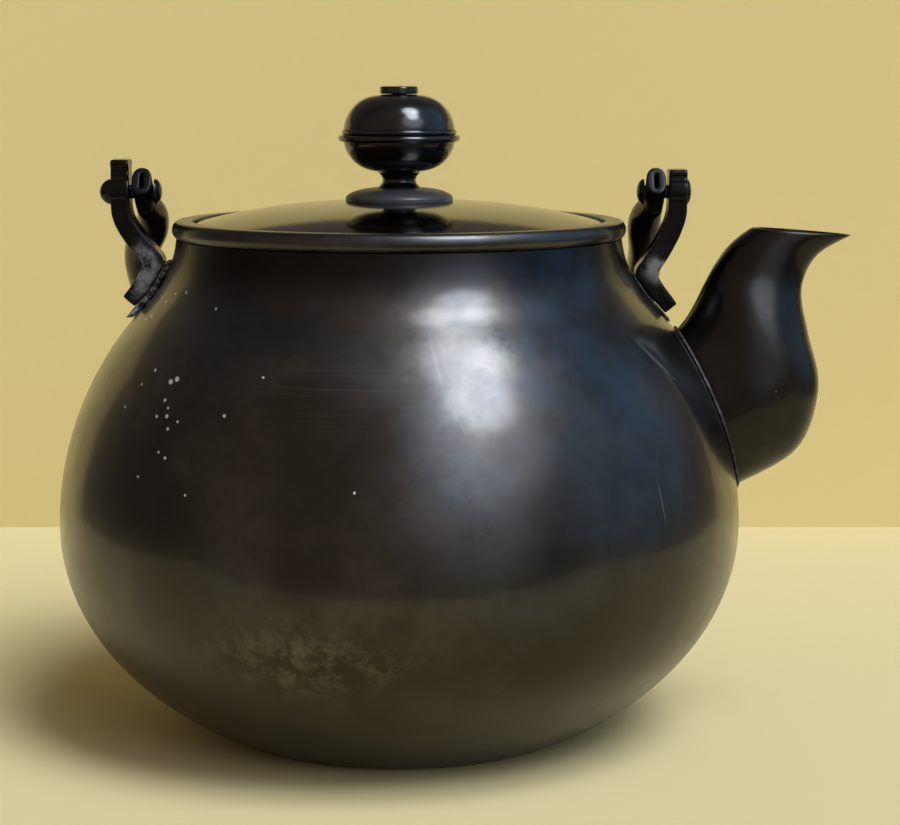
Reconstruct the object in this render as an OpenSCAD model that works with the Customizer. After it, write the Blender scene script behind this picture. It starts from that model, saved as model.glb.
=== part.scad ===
// Round-bellied kettle of raised sheet metal, with a gooseneck spout, a drop-in lid
// and a hollow bail that swings on a pin through each ear.
// Millimetres, +Z up, origin at the middle of the flat base. The spout points to +X
// and the bail lies folded behind the kettle, on its +Y side.

/* [Body] */
// Largest outside diameter of the belly
belly_d = 165; // [150:1:175]
// Height of the widest part above the base
belly_z = 51; // [46:1:56]
// Outside diameter of the flat base
base_d = 86; // [74:1:98]
// Half-height of the ellipse that the shoulder follows
shoulder_rise = 78.5; // [75:0.5:84]
// Share of that half-height at which the shoulder turns into the neck
shoulder_share = 0.675; // [0.64:0.005:0.7]
// Outside diameter of the neck at its top edge
neck_d = 107; // [103:1:109]
// Height of the neck's curve, from the shoulder to its top edge
neck_h = 15.6; // [13:0.2:19]
// Thickness of the body's sheet
wall = 1.4; // [1:0.1:2]
// Height of the base plate's edge, below the body's sheet
base_lip = 0.9; // [0.6:0.1:1.6]
// Height of the base plate's step, inside the body
base_step = 1.6; // [1:0.1:3]

/* [Mouth ring] */
// How far the ring's bead stands out past the neck
bead_out = 1; // [0.5:0.1:1.6]
// Height of the bead
bead_h = 4.3; // [3.4:0.1:5.4]
// Width of the bead, from its outside to the lid's seat
bead_w = 5; // [4.2:0.1:6]
// Roundness of the bead's outside
bead_round = 1.7; // [1:0.1:2.2]
// Depth of the lid's seat below the ring's top
seat_depth = 2; // [1.4:0.1:2.6]
// Width of the ledge that carries the lid
ledge_w = 3.4; // [2.4:0.1:5]
// Thickness of the ledge
ledge_t = 1.2; // [0.8:0.1:2]
// Depth of the ring's skirt, inside the neck
skirt_h = 6; // [3:0.5:10]
// Thickness of the skirt
skirt_t = 1.2; // [0.8:0.1:2]

/* [Lid] */
// Gap between the lid's edge and the ring
lid_gap = 0.8; // [0.3:0.1:1.5]
// Height of the lid's dome above its edge
lid_rise = 5.2; // [3:0.1:8]
// Thickness of the lid's sheet
lid_t = 1.3; // [0.8:0.1:2]
// Radial gap between the lid's flange and the ledge
flange_gap = 0.7; // [0.4:0.1:1.5]
// Depth of the flange below the lid
flange_h = 6; // [3:0.5:12]
// Thickness of the flange
flange_t = 1.2; // [0.8:0.1:2]

/* [Knob] */
// Diameter of the knob's band
band_d = 29.2; // [26:0.2:34]
// Height of the band
band_h = 3; // [2.4:0.1:4]
// How far the band stands out past the bowl and the dome
band_out = 1.3; // [0.8:0.1:2]
// Height of the dome above the band
dome_h = 8.3; // [6.5:0.1:11]
// Depth of the bowl below the band
bowl_h = 7.3; // [5.5:0.1:9]
// Height of the stem between the seat and the bowl
stem_h = 3.6; // [2.4:0.1:6]
// Diameter of the stem at its waist
stem_d = 8; // [6.5:0.1:9.5]
// Thickness of the knob's sheet
knob_t = 1.2; // [0.8:0.1:1.6]
// Diameter of the seat under the knob
seat_d = 25.8; // [20:0.2:30]
// Height of the seat
seat_h = 3.3; // [2.4:0.1:5]
// Thickness of the seat's edge
seat_edge = 0.8; // [0.5:0.1:1.2]
// Diameter of the button on top
button_d = 9.2; // [7:0.2:11]
// Height of the button
button_h = 1.8; // [1.4:0.1:3]
// Diameter of the stud
stud_d = 3.6; // [3:0.1:4.4]
// Diameter of the washer under the lid
washer_d = 14; // [10:0.5:18]
// Thickness of the washer
washer_t = 1; // [0.6:0.1:2]
// Height of the stud's clenched end
clench_h = 1.6; // [1:0.1:2.5]

/* [Spout] */
// Depth of the root's lowest point below the top of the shoulder
root_drop = 45; // [42:0.5:48]
// Height of the root, from its lowest to its highest point
root_h = 38; // [34:0.5:41]
// Half-width of the root
root_w = 12.6; // [10:0.2:15]
// Reach of the spout's breast from the kettle's axis
breast_x = 102; // [98:0.1:106]
// Reach of the hollow under the lip
throat_x = 97.3; // [94.5:0.1:99]
// Reach of the lip's tip
lip_x = 109.4; // [105:0.1:116]
// Height of the lip above the top of the shoulder
lip_rise = 16.2; // [14:0.1:19]
// Reach of the mouth's back edge
mouth_x = 84.9; // [83:0.1:88]
// Height of the mouth's inner side above the top of the shoulder
mouth_rise = 18; // [16:0.1:20]
// Half-width of the mouth
mouth_w = 7; // [5.5:0.1:9]
// Share by which the mouth narrows towards its lip
beak = 0.45; // [0:0.05:0.6]
// Thickness of the spout's sheet
spout_t = 1.2; // [0.9:0.1:1.6]
// Width of the solder bead round the root
solder_w = 1.2; // [0.8:0.1:2]

/* [Ears] */
// Distance from the axis to the middle of each ear
ear_x = 66.8; // [65.5:0.1:69]
// Thickness of the ear, along X
ear_t = 4.4; // [3.6:0.1:5.5]
// Width of the ear's strap, along Y
ear_w = 7.6; // [6:0.2:10]
// Height of the pins above the mouth ring's top
pin_rise = 6.6; // [5.5:0.1:10]
// Radius of the round knuckle about the pin
knuckle_r = 4.2; // [3.6:0.1:5.5]
// Height of the left and of the right finial's top above its pin
finial_h = [7.8, 5.4];
// Depth of the left and of the right strap's bend below the neck's top edge
bend_drop = [7.2, 9.8];
// Length of the left and of the right ear's foot, down the shoulder
foot_l = [13.6, 11.6];
// Thickness of the foot
foot_t = 4.2; // [3:0.1:5]
// Thickness of the solder under the left and under the right foot
pad_t = [1.6, 0.7];
// How far the solder spreads past the foot
pad_out = 1.4; // [0.5:0.1:2.5]

/* [Bail] */
// Height of the bail's middle line above the pins, when it stands
bail_h = 105; // [98:1:112]
// Half-width of the bail's arch, to its middle line
arch_r = 63.6; // [61:0.1:68]
// Lean of the arch towards the left ear
arch_lean = 2.2; // [0:0.1:3]
// Height above the pins at which the arch begins
arch_z = 48; // [40:1:54]
// Thickness of the bail's eye, along X
eye_t = 4.8; // [4:0.1:5.4]
// Height of the bail's eye, across the arm
eye_w = 7.4; // [6.4:0.1:9]
// Width of the hollow grip at the crown
grip_w = 10; // [8:0.2:12]
// Depth of the grip at the crown
grip_t = 8.6; // [6:0.2:10]
// Thickness of the bail's sheet
bail_wall = 1.1; // [0.8:0.1:1.4]
// Length of the eye behind the pin
eye_back = 4; // [3.4:0.1:8]
// Length over which the bail swells from its eye to its full size
swell = 12; // [8:1:20]
// Length of the eye in front of the pin
eye_front = 5; // [4.2:0.1:6]
// Height of the slit in the eye's end
slit_h = 4.2; // [3:0.1:5]
// Width of that slit
slit_t = 0.8; // [0.5:0.1:1.2]
// Gap between the bail's eye and the ear
eye_gap = 0.7; // [0.4:0.1:1]
// Diameter of the pins
pin_d = 3.2; // [2.6:0.1:4]
// Diameter of the pins' domed heads
head_d = 6.2; // [5:0.1:7.5]
// Height of the left and of the right pin's head outside the ear
head_out = [3, 1.2];
// Height of a pin's head inside the bail
head_in = 1.7; // [1:0.1:2]
// Gap between the folded bail and the kettle
rest_gap = 0.6; // [0.5:0.1:3]

/* [Fits] */
// Radial gap of a pin or a stud in the sheet that it passes
pin_gap = 0.05; // [0.02:0.01:0.09]
// Gap between faces that turn or lift past each other
play = 0.3; // [0.3:0.05:0.6]
// Gap between curved faces that are soldered
skin = 0.05; // [0.03:0.01:0.1]

/* [Hidden] */
$fn = 96;
left = 0;             // index of the -X side in the two-value sizes
right = 1;            // index of the +X side
patina = [0.17, 0.15, 0.13];
black = [0.08, 0.08, 0.085];
tin = [0.5, 0.51, 0.5];
steel = [0.3, 0.29, 0.28];

// ---- Body outline ----
belly_r = belly_d / 2;
base_r = base_d / 2;
neck_r = neck_d / 2;
low_rise = belly_z / sqrt(1 - pow(base_r / belly_r, 2));
neck_slope = -0.12;
shoulder_top = belly_z + shoulder_rise * shoulder_share;
neck_z = shoulder_top + neck_h;
bend_z = [for (drop = bend_drop) neck_z - drop];

function ellipse_r(rx, rz, h) = rx * sqrt(max(0, 1 - pow(h / rz, 2)));
function shoulder_r(z, g) = ellipse_r(belly_r + g, shoulder_rise + g, z - belly_z);
// Radius that runs from a, with slope p, to b, with slope q, over a height of run
function ease(a, p, b, q, run, t) =
    a * (1 + 2 * t) * pow(1 - t, 2) + p * run * t * pow(1 - t, 2)
    + b * t * t * (3 - 2 * t) + q * run * t * t * (t - 1);
shoulder_slope = shoulder_r(shoulder_top, 0) - shoulder_r(shoulder_top - 1, 0);
// Outside radius of the body at height z, grown by g
function body_r(z, g = 0) =
    z < belly_z ? ellipse_r(belly_r + g, low_rise + g, belly_z - z)
    : z < shoulder_top ? shoulder_r(z, g)
    : ease(shoulder_r(shoulder_top, g), shoulder_slope, neck_r + g, neck_slope, neck_h,
           min(1, (z - shoulder_top) / neck_h));
// Points of the body's outline from height a to height b, closest near the base
function body_line(a, b, g = 0, n = 72) =
    [for (i = [0 : n]) let (z = a + (b - a) * pow(i / n, 1.4)) [body_r(z, g), z]];
function reverse(list) = [for (i = [len(list) - 1 : -1 : 0]) list[i]];
function unit(v) = v / norm(v);
function lerp(a, b, t) = a + (b - a) * t;
// Outward normal of the body's outline at height z, as [radius, height]
function body_normal(z) = unit([1, body_r(z - 0.5) - body_r(z + 0.5)]);

// ---- Mouth ring and lid heights ----
bead_r = neck_r + bead_out;
ring_top = neck_z + bead_h;
seat_r = bead_r - bead_w;
seat_z = ring_top - seat_depth;
ledge_r = seat_r - ledge_w;
skirt_r = neck_r - wall - skin;
lid_r = seat_r - lid_gap;
lid_low = seat_z + play / 3;
// Height of the lid's upper face at radius r
function lid_top(r) = lid_low + lid_t + lid_rise * (1 - pow(r / lid_r, 2.4));

// ---- Knob heights ----
stud_r = stud_d / 2;
stud_hole = stud_r + pin_gap;
knob_z0 = lid_top(seat_d / 2);
stem_z0 = knob_z0 + seat_h;
bowl_z0 = stem_z0 + stem_h;
band_z0 = bowl_z0 + bowl_h;
dome_z0 = band_z0 + band_h;
dome_z1 = dome_z0 + dome_h;
bowl_r = band_d / 2 - band_out;

// ---- Bail ----
pin_r = pin_d / 2;
pin_z = ring_top + pin_rise;
ear_in = ear_x - ear_t / 2;
arm_x = ear_in - eye_gap - eye_t / 2;
// Radius of what the folded bail must clear at height z
function kettle_r(z) = z > ring_top ? 0 : z > neck_z ? bead_r : body_r(max(z, 0));
// Clearance of the bail, turned a degrees below level, at arch angle f
function arch_gap(a, f) =
    let (s = arch_z + (bail_h - arch_z) * sin(f))
    norm([(arch_r - arch_lean) * cos(f), s * cos(a)]) - kettle_r(pin_z - s * sin(a)) - grip_w / 2;
too_low = [for (a = [5 : 0.25 : 60]) if (min([for (f = [0 : 15 : 90]) arch_gap(a, f)]) < rest_gap) a];
bail_rest = too_low[0] - 0.25;
echo(pin_z = pin_z, bail_rest = bail_rest, bail_range = 180 + 2 * bail_rest);

// ---- Shapes used by several parts ----
module lathe(points) {
    rotate_extrude() polygon(points);
}
// Low dome of radius r and height h on the XY plane, with a rounded edge
module domed_head(r, h) {
    lathe(concat([[0, 0]], [for (a = [0 : 10 : 90]) [r * cos(a), h * sin(a)]]));
}
// Closed tube between matching rings of outside and inside points
module ring_loft(outer, inner) {
    n = len(outer[0]);
    m = len(outer);
    all = concat([for (r = outer) each r], [for (r = inner) each r]);
    base = n * m;
    faces = [for (i = [0 : m - 2], j = [0 : n - 1])
        let (k = (j + 1) % n)
        each [[i * n + j, (i + 1) * n + j, (i + 1) * n + k, i * n + k],
              [base + i * n + j, base + i * n + k, base + (i + 1) * n + k, base + (i + 1) * n + j]]];
    start = [for (j = [0 : n - 1]) let (k = (j + 1) % n) [j, k, base + k, base + j]];
    last = (m - 1) * n;
    end = [for (j = [0 : n - 1])
        let (k = (j + 1) % n) [last + j, base + last + j, base + last + k, last + k]];
    polyhedron(all, concat(faces, start, end), convexity = 6);
}

// ---- Body ----
// The sheet in two parts, which meet at the belly's widest line
module body_sheet(low, high) {
    lathe(concat(body_line(low, high, 0, 48), reverse(body_line(low, high, -wall, 48))));
}
module body_lower() {
    color(patina) body_sheet(base_lip, belly_z - skin);
}
module body_upper() {
    color(patina) difference() {
        body_sheet(belly_z, neck_z);
        translate([0, 0, (root_low + root_high) / 2]) rotate([90, 0, 90])
            linear_extrude(height = belly_d) polygon(spout_hole);
    }
}
module base_plate() {
    step_r = body_r(base_lip, -wall) - skin;
    color(patina) lathe([[0, 0], [base_r, 0], [body_r(base_lip), base_lip], [step_r, base_lip],
                         [step_r, base_lip + base_step], [0, base_lip + base_step]]);
}
module mouth_ring() {
    mid = neck_z + bead_h / 2;
    bead = [for (a = [-90 : 15 : 90])
        [bead_r - bead_round + bead_round * cos(a), mid + bead_h / 2 * sin(a)]];
    color(patina) lathe(concat(bead, [
        [seat_r, ring_top], [seat_r, seat_z], [ledge_r, seat_z], [ledge_r, seat_z - ledge_t],
        [skirt_r - skirt_t, seat_z - ledge_t], [skirt_r - skirt_t, neck_z - skirt_h],
        [skirt_r, neck_z - skirt_h], [skirt_r, neck_z]]));
}

// ---- Spout ----
root_low = shoulder_top - root_drop;
root_high = root_low + root_h;
lip_z = shoulder_top + lip_rise;
mouth_z = shoulder_top + mouth_rise;
root_out = [body_r(root_low), root_low];
root_in = [body_r(root_high), root_high];
// Stations from the root to the mouth: [reach and height of the outer side,
// reach and height of the inner side, half-width]
stations = [
    [root_out, root_in, root_w],
    [[breast_x - 4.9, root_low + 8.9], root_in + [2.4, 2.9], root_w + 0.3],
    [[breast_x, root_low + 24], root_in + [4.6, 6.7], root_w - 0.3],
    [[lerp(breast_x, throat_x, 0.62), root_low + 37.5], root_in + [6.8, 11.3], root_w - 1.8],
    [[throat_x, root_low + 48], [mouth_x - 8.5, mouth_z - 8.6], mouth_w + 1.4],
    [[lerp(throat_x, lip_x, 0.29), lip_z - 5], [mouth_x - 4.8, mouth_z - 3.7], mouth_w + 0.5],
    [[lip_x, lip_z], [mouth_x, mouth_z], mouth_w]];
spout_n = 32;
spout_rings = 30;
root_rings = 8;       // rings over which the root's curve fades out
// Smooth curve through the stations
function station(i) = stations[max(0, min(len(stations) - 1, i))];
function through(p, q, r, s, t) =
    q + 0.5 * t * (r - p + t * (2 * p - 5 * q + 4 * r - s + t * (3 * (q - r) + s - p)));
function spout_at(u) =
    let (v = u * (len(stations) - 1), i = min(floor(v), len(stations) - 2), t = v - i)
    [for (k = [0 : 2]) through(station(i - 1)[k], station(i)[k], station(i + 1)[k], station(i + 2)[k], t)];
// Ring of the spout at share u of its length, shrunk by a wall of g
function spout_ring(u, g) =
    let (s = spout_at(u), mid = (s[0] + s[1]) / 2, arm = (s[0] - s[1]) / 2,
         reach = norm(arm) - g, along = unit(arm), pinch = beak * pow(u, 3))
    [for (j = [0 : spout_n - 1])
        let (a = 360 * j / spout_n, c = cos(a),
             w = (s[2] - g) * (1 - pinch * (1 + c) / 2),
             p = mid + along * reach * c, y = w * sin(a))
        [p[0], y, p[1]]];
// The first ring lies on the body's surface, g clear of it, and the next rings follow it
function on_body(p, g) = [sqrt(pow(body_r(p[2], g), 2) - pow(p[1], 2)), p[1], p[2]];
function spout_loft(g) =
    let (root = spout_ring(0, g))
    [for (i = [0 : spout_rings])
        let (ring = spout_ring(i / spout_rings, g), fade = pow(max(0, 1 - i / root_rings), 2))
        [for (j = [0 : spout_n - 1])
            ring[j] + [(on_body(root[j], skin)[0] - root[j][0]) * fade, 0, 0]]];
spout_hole =
    let (high = (root_high - root_low) / 2 - 3 * spout_t, wide = root_w - 2.5 * spout_t)
    [for (a = [0 : 7.5 : 352.5]) [wide * cos(a), high * sin(a)]];

module spout() {
    color(patina) ring_loft(spout_loft(0), spout_loft(spout_t));
}
// Bead of solder that follows the root, three-sided, between the spout and the body
module spout_solder() {
    root = [for (p = spout_ring(0, 0)) on_body(p, 2 * skin)];
    up = spout_loft(-2 * skin)[1];
    mid = [root_out[0], 0, (root_low + root_high) / 2];
    loops = [for (j = [0 : spout_n - 1])
        let (p = root[j], out = unit([0, p[1], p[2] - mid[2]]),
             foot = on_body(p + out * solder_w, 2 * skin), rise = unit(up[j] - p))
        [p + out * 2 * skin, foot, p + out * 2 * skin + rise * solder_w]];
    pts = [for (l = loops) each l];
    faces = [for (j = [0 : spout_n - 1], e = [0 : 2])
        let (a = j * 3, b = ((j + 1) % spout_n) * 3, f = (e + 1) % 3)
        each [[a + e, a + f, b + f], [a + e, b + f, b + e]]];
    color(tin) polyhedron(pts, faces, convexity = 6);
}

// ---- Ears ----
// Middle line of a foot on the shoulder at height z, g off the surface
function off_body(z, g) = [body_r(z), z] + body_normal(z) * g;
function foot_low(side) = bend_z[side] - foot_l[side] * 0.76;
function bezier(p, t) =
    pow(1 - t, 3) * p[0] + 3 * t * pow(1 - t, 2) * p[1] + 3 * t * t * (1 - t) * p[2] + pow(t, 3) * p[3];
// Outline of a strip that follows points p, t0 thick at its start and t1 at its end
function strip(p, t0, t1) =
    let (n = len(p) - 1,
         half = [for (i = [0 : n])
            let (d = unit(p[min(n, i + 1)] - p[max(0, i - 1)])) lerp(t0, t1, i / n) / 2 * [-d[1], d[0]]])
    concat([for (i = [0 : n]) p[i] + half[i]], reverse([for (i = [0 : n]) p[i] - half[i]]));
// Thickness of the foot at its bend and at its toe
bend_t = foot_t * 1.15;
toe_t = foot_t * 0.85;
module ear(side) {
    hub = [ear_x, pin_z];
    bend = off_body(bend_z[side], pad_t[side] + bend_t / 2);
    knee = hub - [0, 3.6];
    strap = [for (t = [0 : 0.1 : 1]) bezier([knee, knee - [0, 4.4], bend + [3.5, 4.6], bend], t)];
    foot = [for (t = [0 : 0.1 : 1])
        off_body(lerp(bend_z[side], foot_low(side), t), pad_t[side] + lerp(bend_t, toe_t, t) / 2)];
    difference() {
        union() {
            // Strap and foot, seen from the front
            rotate([90, 0, 0]) linear_extrude(height = ear_w, center = true) {
                polygon(strip(concat([hub], strap), ear_t, bend_t));
                translate(bend) circle(d = bend_t, $fn = 24);
                polygon(strip(foot, bend_t, toe_t));
            }
            // Knuckle and finial, seen from the side
            translate([ear_in, 0, pin_z]) rotate([90, 0, 90]) linear_extrude(height = ear_t) {
                circle(r = knuckle_r);
                translate([-ear_w * 0.42, 0]) square([ear_w * 0.84, finial_h[side] - 1]);
                finial_rib(ear_w * 0.96, finial_h[side] * 0.52, finial_h[side] * 0.26);
                finial_rib(ear_w * 1.04, finial_h[side] * 0.86, finial_h[side] * 0.28);
            }
        }
        pin_bore(ear_in - 1, ear_t + 2);
    }
}
// Rib across the finial, w wide and h high, with its middle at height y
module finial_rib(w, y, h) {
    translate([-w / 2 + h / 2, y - h / 2]) square([w - h, h]);
    for (x = [-1, 1]) translate([x * (w - h) / 2, y]) circle(d = h, $fn = 24);
}
module pin_bore(x, length) {
    translate([x, 0, pin_z]) rotate([0, 90, 0]) cylinder(r = pin_r + pin_gap, h = length);
}
// Skin of solder between a foot and the shoulder
module ear_solder(side) {
    low = foot_low(side) - pad_out;
    high = bend_z[side] + pad_out;
    half = asin((ear_w / 2 + pad_out) / body_r(low));
    rotate([0, 0, -half]) rotate_extrude(angle = 2 * half)
        polygon(concat(body_line(low, high, skin, 8), reverse(body_line(low, high, pad_t[side] - 3 * skin, 8))));
}
module ear_left() { color(black) mirror([1, 0, 0]) ear(left); }
module ear_right() { color(black) ear(right); }
module ear_solder_left() { color(tin) mirror([1, 0, 0]) ear_solder(left); }
module ear_solder_right() { color(tin) ear_solder(right); }

// ---- Bail ----
module bail_pin(side) {
    inside = arm_x - eye_t / 2 - play;
    outside = ear_in + ear_t + skin;
    translate([0, 0, pin_z]) rotate([0, 90, 0]) {
        translate([0, 0, inside]) cylinder(r = pin_r, h = outside - inside);
        translate([0, 0, outside]) domed_head(head_d / 2, head_out[side]);
        translate([0, 0, inside]) mirror([0, 0, 1]) domed_head(head_d / 2, head_in);
    }
}
module bail_pin_left() { color(black) mirror([1, 0, 0]) bail_pin(left); }
module bail_pin_right() { color(black) bail_pin(right); }

// Outline of a flattened round, rx by ry
function oval(rx, ry, n = 24) =
    [for (j = [0 : n - 1])
        let (a = 360 * j / n, c = cos(a), s = sin(a))
        [rx * sign(c) * pow(abs(c), 0.8), ry * sign(s) * pow(abs(s), 0.8)]];
// Turns the standing bail down behind the kettle
module bail_pose() {
    translate([0, 0, pin_z]) rotate([-90 - bail_rest, 0, 0]) children();
}
module bail_eye() {
    length = eye_front + eye_back;
    bail_pose() translate([arm_x, 0, 0]) difference() {
        translate([0, 0, -eye_front]) linear_extrude(height = length) polygon(oval(eye_t / 2, eye_w / 2));
        translate([-slit_t / 2, -slit_h / 2, -eye_front - 1]) cube([slit_t, slit_h, length + 2]);
        translate([-eye_t, 0, 0]) rotate([0, 90, 0]) cylinder(r = pin_r + pin_gap, h = 2 * eye_t);
    }
}
module bail_eye_left() { color(black) mirror([1, 0, 0]) bail_eye(); }
module bail_eye_right() { color(black) bail_eye(); }

arm_share = 0.4;       // share of a half that is its arm, below the arch
arm_out = max(finial_h) + 0.6;         // past the ear's top, so that the arms clear it
arm_step = 22;                         // length over which they step out to the arch
function smooth(t) = let (c = max(0, min(1, t))) c * c * (3 - 2 * c);
// Share of its full size that the bail has, and of its way out to the arch, s from the pins
function swelling(s) = smooth((s - eye_back) / swell);
function outward(s) = smooth((s - arm_out) / arm_step);
// Middle line of the bail's right half, from its eye at t = 0 to its crown at t = 1
function bail_line(t) =
    let (f = 90 * (t - arm_share) / (1 - arm_share),
         s = lerp(eye_back, arch_z, pow(t / arm_share, 1.5)))
    t < arm_share
        ? [lerp(arm_x - swelling(s) * (grip_t - eye_t) / 2, arch_r, outward(s)), s]
        : [arch_r * cos(f), arch_z + (bail_h - arch_z) * sin(f)];
bail_rings = 52;
// Ring of the bail at share u of its length, from the right eye to the left one
function bail_ring(u, g) =
    let (t = 1 - abs(2 * u - 1), side = u > 0.5 ? -1 : 1, p = bail_line(t),
         d = bail_line(min(1, t + 0.01)) - bail_line(max(0, t - 0.01)),
         n = unit(lerp([1, 0], unit([d[1], -d[0]]), smooth(t / 0.1))),
         size = swelling(p[1]),
         rx = lerp(eye_t, grip_t, size) / 2 - g, ry = lerp(eye_w, grip_w, size) / 2 - g)
    [for (q = oval(rx, ry))
        [side * (p[0] + n[0] * q[0]) - arch_lean * outward(p[1]), q[1], p[1] + n[1] * q[0]]];
module bail_handle() {
    color(black) bail_pose() ring_loft(
        [for (i = [0 : bail_rings]) bail_ring(i / bail_rings, 0)],
        [for (i = [0 : bail_rings]) bail_ring(i / bail_rings, bail_wall)]);
}

// ---- Lid ----
module lid_plate() {
    line = [for (i = [0 : 24]) let (r = lerp(stud_hole, lid_r, i / 24)) [r, lid_top(r)]];
    color(steel) lathe(concat(line, reverse([for (p = line) p - [0, lid_t]])));
}
module lid_flange() {
    r = ledge_r - flange_gap;
    high = lid_top(r) - lid_t - skin;
    color(steel) lathe([[r, high - 0.05], [r, high - flange_h], [r - flange_t, high - flange_h],
                        [r - flange_t, high]]);
}
// Outline of a bun, from its flat top on the axis out to radius r, over height h
function bun(r, h) = [for (a = [0 : 6 : 90]) [r * pow(sin(a), 0.57), h * pow(cos(a), 1.25)]];
module knob_seat() {
    under = [for (i = [0 : 6]) let (r = lerp(seat_d / 2, stud_hole, i / 6)) [r, lid_top(r) + skin]];
    crown = [for (p = bun(seat_d / 2, seat_h - seat_edge)) if (p[0] > stud_hole)
        [p[0], knob_z0 + seat_edge + p[1]]];
    color(black) lathe(concat(under, [[stud_hole, stem_z0]], crown));
}
module knob_stem() {
    flare = [for (t = [0 : 0.1 : 1]) [stem_d / 2 + 1.2 * pow(2 * t - 1, 2), lerp(stem_z0, bowl_z0, t)]];
    color(black) lathe(concat([[stud_hole, stem_z0]], flare, [[stud_hole, bowl_z0]]));
}
module knob_bowl() {
    outer = [for (p = bun(bowl_r, bowl_h)) if (p[0] > stud_hole) [p[0], band_z0 - p[1]]];
    inner = [for (p = bun(bowl_r - knob_t, bowl_h - knob_t)) if (p[0] > stud_hole) [p[0], band_z0 - p[1]]];
    color(black) lathe(concat([[stud_hole, bowl_z0]], outer, reverse(inner), [[stud_hole, bowl_z0 + knob_t]]));
}
module knob_band() {
    r = band_d / 2;
    in = bowl_r - knob_t;
    bead = band_h * 0.55;
    rim = band_h - bead;
    low = [for (a = [-90 : 15 : 80]) [r - bead / 2 + bead / 2 * cos(a), band_z0 + bead / 2 * (1 + sin(a))]];
    top = [for (a = [-70 : 15 : 90])
        [r - 0.8 - rim / 2 + rim / 2 * cos(a), band_z0 + bead + rim / 2 * (1 + sin(a))]];
    color(black) lathe(concat([[in, band_z0]], low, top, [[in, dome_z0]]));
}
module knob_dome() {
    outer = [for (p = bun(bowl_r, dome_h)) if (p[0] > stud_hole) [p[0], dome_z0 + p[1]]];
    inner = [for (p = bun(bowl_r - knob_t, dome_h - knob_t)) if (p[0] > stud_hole) [p[0], dome_z0 + p[1]]];
    color(black) lathe(concat([[stud_hole, dome_z1]], outer, reverse(inner), [[stud_hole, dome_z1 - knob_t]]));
}
module knob_button() {
    depth = button_h * 0.45;
    r = button_d / 2;
    color(black) translate([0, 0, dome_z1 + skin]) difference() {
        lathe([[0, 0], [r - 0.3, 0], [r, 0.3], [r, button_h - 0.5], [r - 0.5, button_h], [0, button_h]]);
        translate([0, 0, -1]) cylinder(r = stud_hole, h = 1 + depth);
    }
}
under_lid = lid_top(washer_d / 2) - lid_t - skin;
module knob_stud() {
    low = under_lid - washer_t - skin;
    top = dome_z1 + button_h * 0.4;
    color(black) {
        translate([0, 0, low]) cylinder(r = stud_r, h = top - low);
        translate([0, 0, low]) mirror([0, 0, 1]) domed_head(stud_d * 0.85, clench_h);
    }
}
module stud_washer() {
    color(steel) difference() {
        translate([0, 0, under_lid - washer_t]) cylinder(d = washer_d, h = washer_t);
        translate([0, 0, under_lid - 2 * washer_t]) cylinder(r = stud_hole, h = 3 * washer_t);
    }
}

body_upper();
body_lower();
base_plate();
mouth_ring();
spout();
spout_solder();
ear_left();
ear_right();
ear_solder_left();
ear_solder_right();
bail_pin_left();
bail_pin_right();
bail_handle();
bail_eye_left();
bail_eye_right();
lid_plate();
lid_flange();
knob_seat();
knob_stem();
knob_bowl();
knob_band();
knob_dome();
knob_button();
knob_stud();
stud_washer();
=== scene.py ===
# %% [markdown]
# # A round-bellied metal teapot
#
# The teapot is raised from thin copper-alloy sheet and patinated almost black. A turned knob
# stands on its polished lid, two strap ears are soldered to the shoulder, and a hollow bail
# swings on a rivet through each ear. The construction model is loaded first, as a fixed
# frame. Every smooth, visible piece is then made again beside it with a finer surface,
# because a polished curve shows each facet of a coarse one.

# %% Load the frame
import math

import bpy
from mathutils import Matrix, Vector


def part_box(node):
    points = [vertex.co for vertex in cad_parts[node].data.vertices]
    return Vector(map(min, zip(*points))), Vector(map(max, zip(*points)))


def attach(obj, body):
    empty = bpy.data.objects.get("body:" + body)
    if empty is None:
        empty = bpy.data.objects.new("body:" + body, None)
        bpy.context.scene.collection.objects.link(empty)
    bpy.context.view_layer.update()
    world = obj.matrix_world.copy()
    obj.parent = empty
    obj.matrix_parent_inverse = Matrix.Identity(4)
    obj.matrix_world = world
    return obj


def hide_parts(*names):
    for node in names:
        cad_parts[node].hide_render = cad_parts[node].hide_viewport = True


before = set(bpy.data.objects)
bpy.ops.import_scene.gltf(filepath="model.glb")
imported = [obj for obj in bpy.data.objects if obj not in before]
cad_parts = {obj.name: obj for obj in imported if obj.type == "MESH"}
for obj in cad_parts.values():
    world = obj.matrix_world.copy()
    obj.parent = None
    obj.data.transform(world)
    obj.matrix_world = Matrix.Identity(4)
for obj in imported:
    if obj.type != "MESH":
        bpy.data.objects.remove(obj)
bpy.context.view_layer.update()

MM = 0.001
print("CAD nodes:", len(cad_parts))

# %% [markdown]
# ## Small helpers
#
# Operators act on whatever is selected, so each step begins by clearing the selection.
# A turned piece starts as one point, is drawn out into its outline by extruding, and is
# then spun round an axis, as on a potter's wheel. Spinning leaves doubled points on the
# seam and on the axis: they are merged before the normals are made consistent.

# %% Selection and finishing helpers
SMOOTH_ANGLE = math.radians(32)
LOFT_ANGLE = math.radians(60)
MERGE = 0.002 * MM
WIDE_STEPS, KNOB_STEPS, BUTTON_STEPS, RIVET_STEPS = 192, 96, 64, 48


def only(piece):
    """Selects one object alone and makes it active."""
    bpy.ops.object.select_all(action="DESELECT")
    piece.select_set(True)
    bpy.context.view_layer.objects.active = piece


def apply_modifier(piece, kind, **settings):
    """Adds a modifier, sets it up and applies it."""
    only(piece)
    modifier = piece.modifiers.new(kind.title(), kind)
    for name, value in settings.items():
        setattr(modifier, name, value)
    bpy.ops.object.modifier_apply(modifier=modifier.name)


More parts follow.
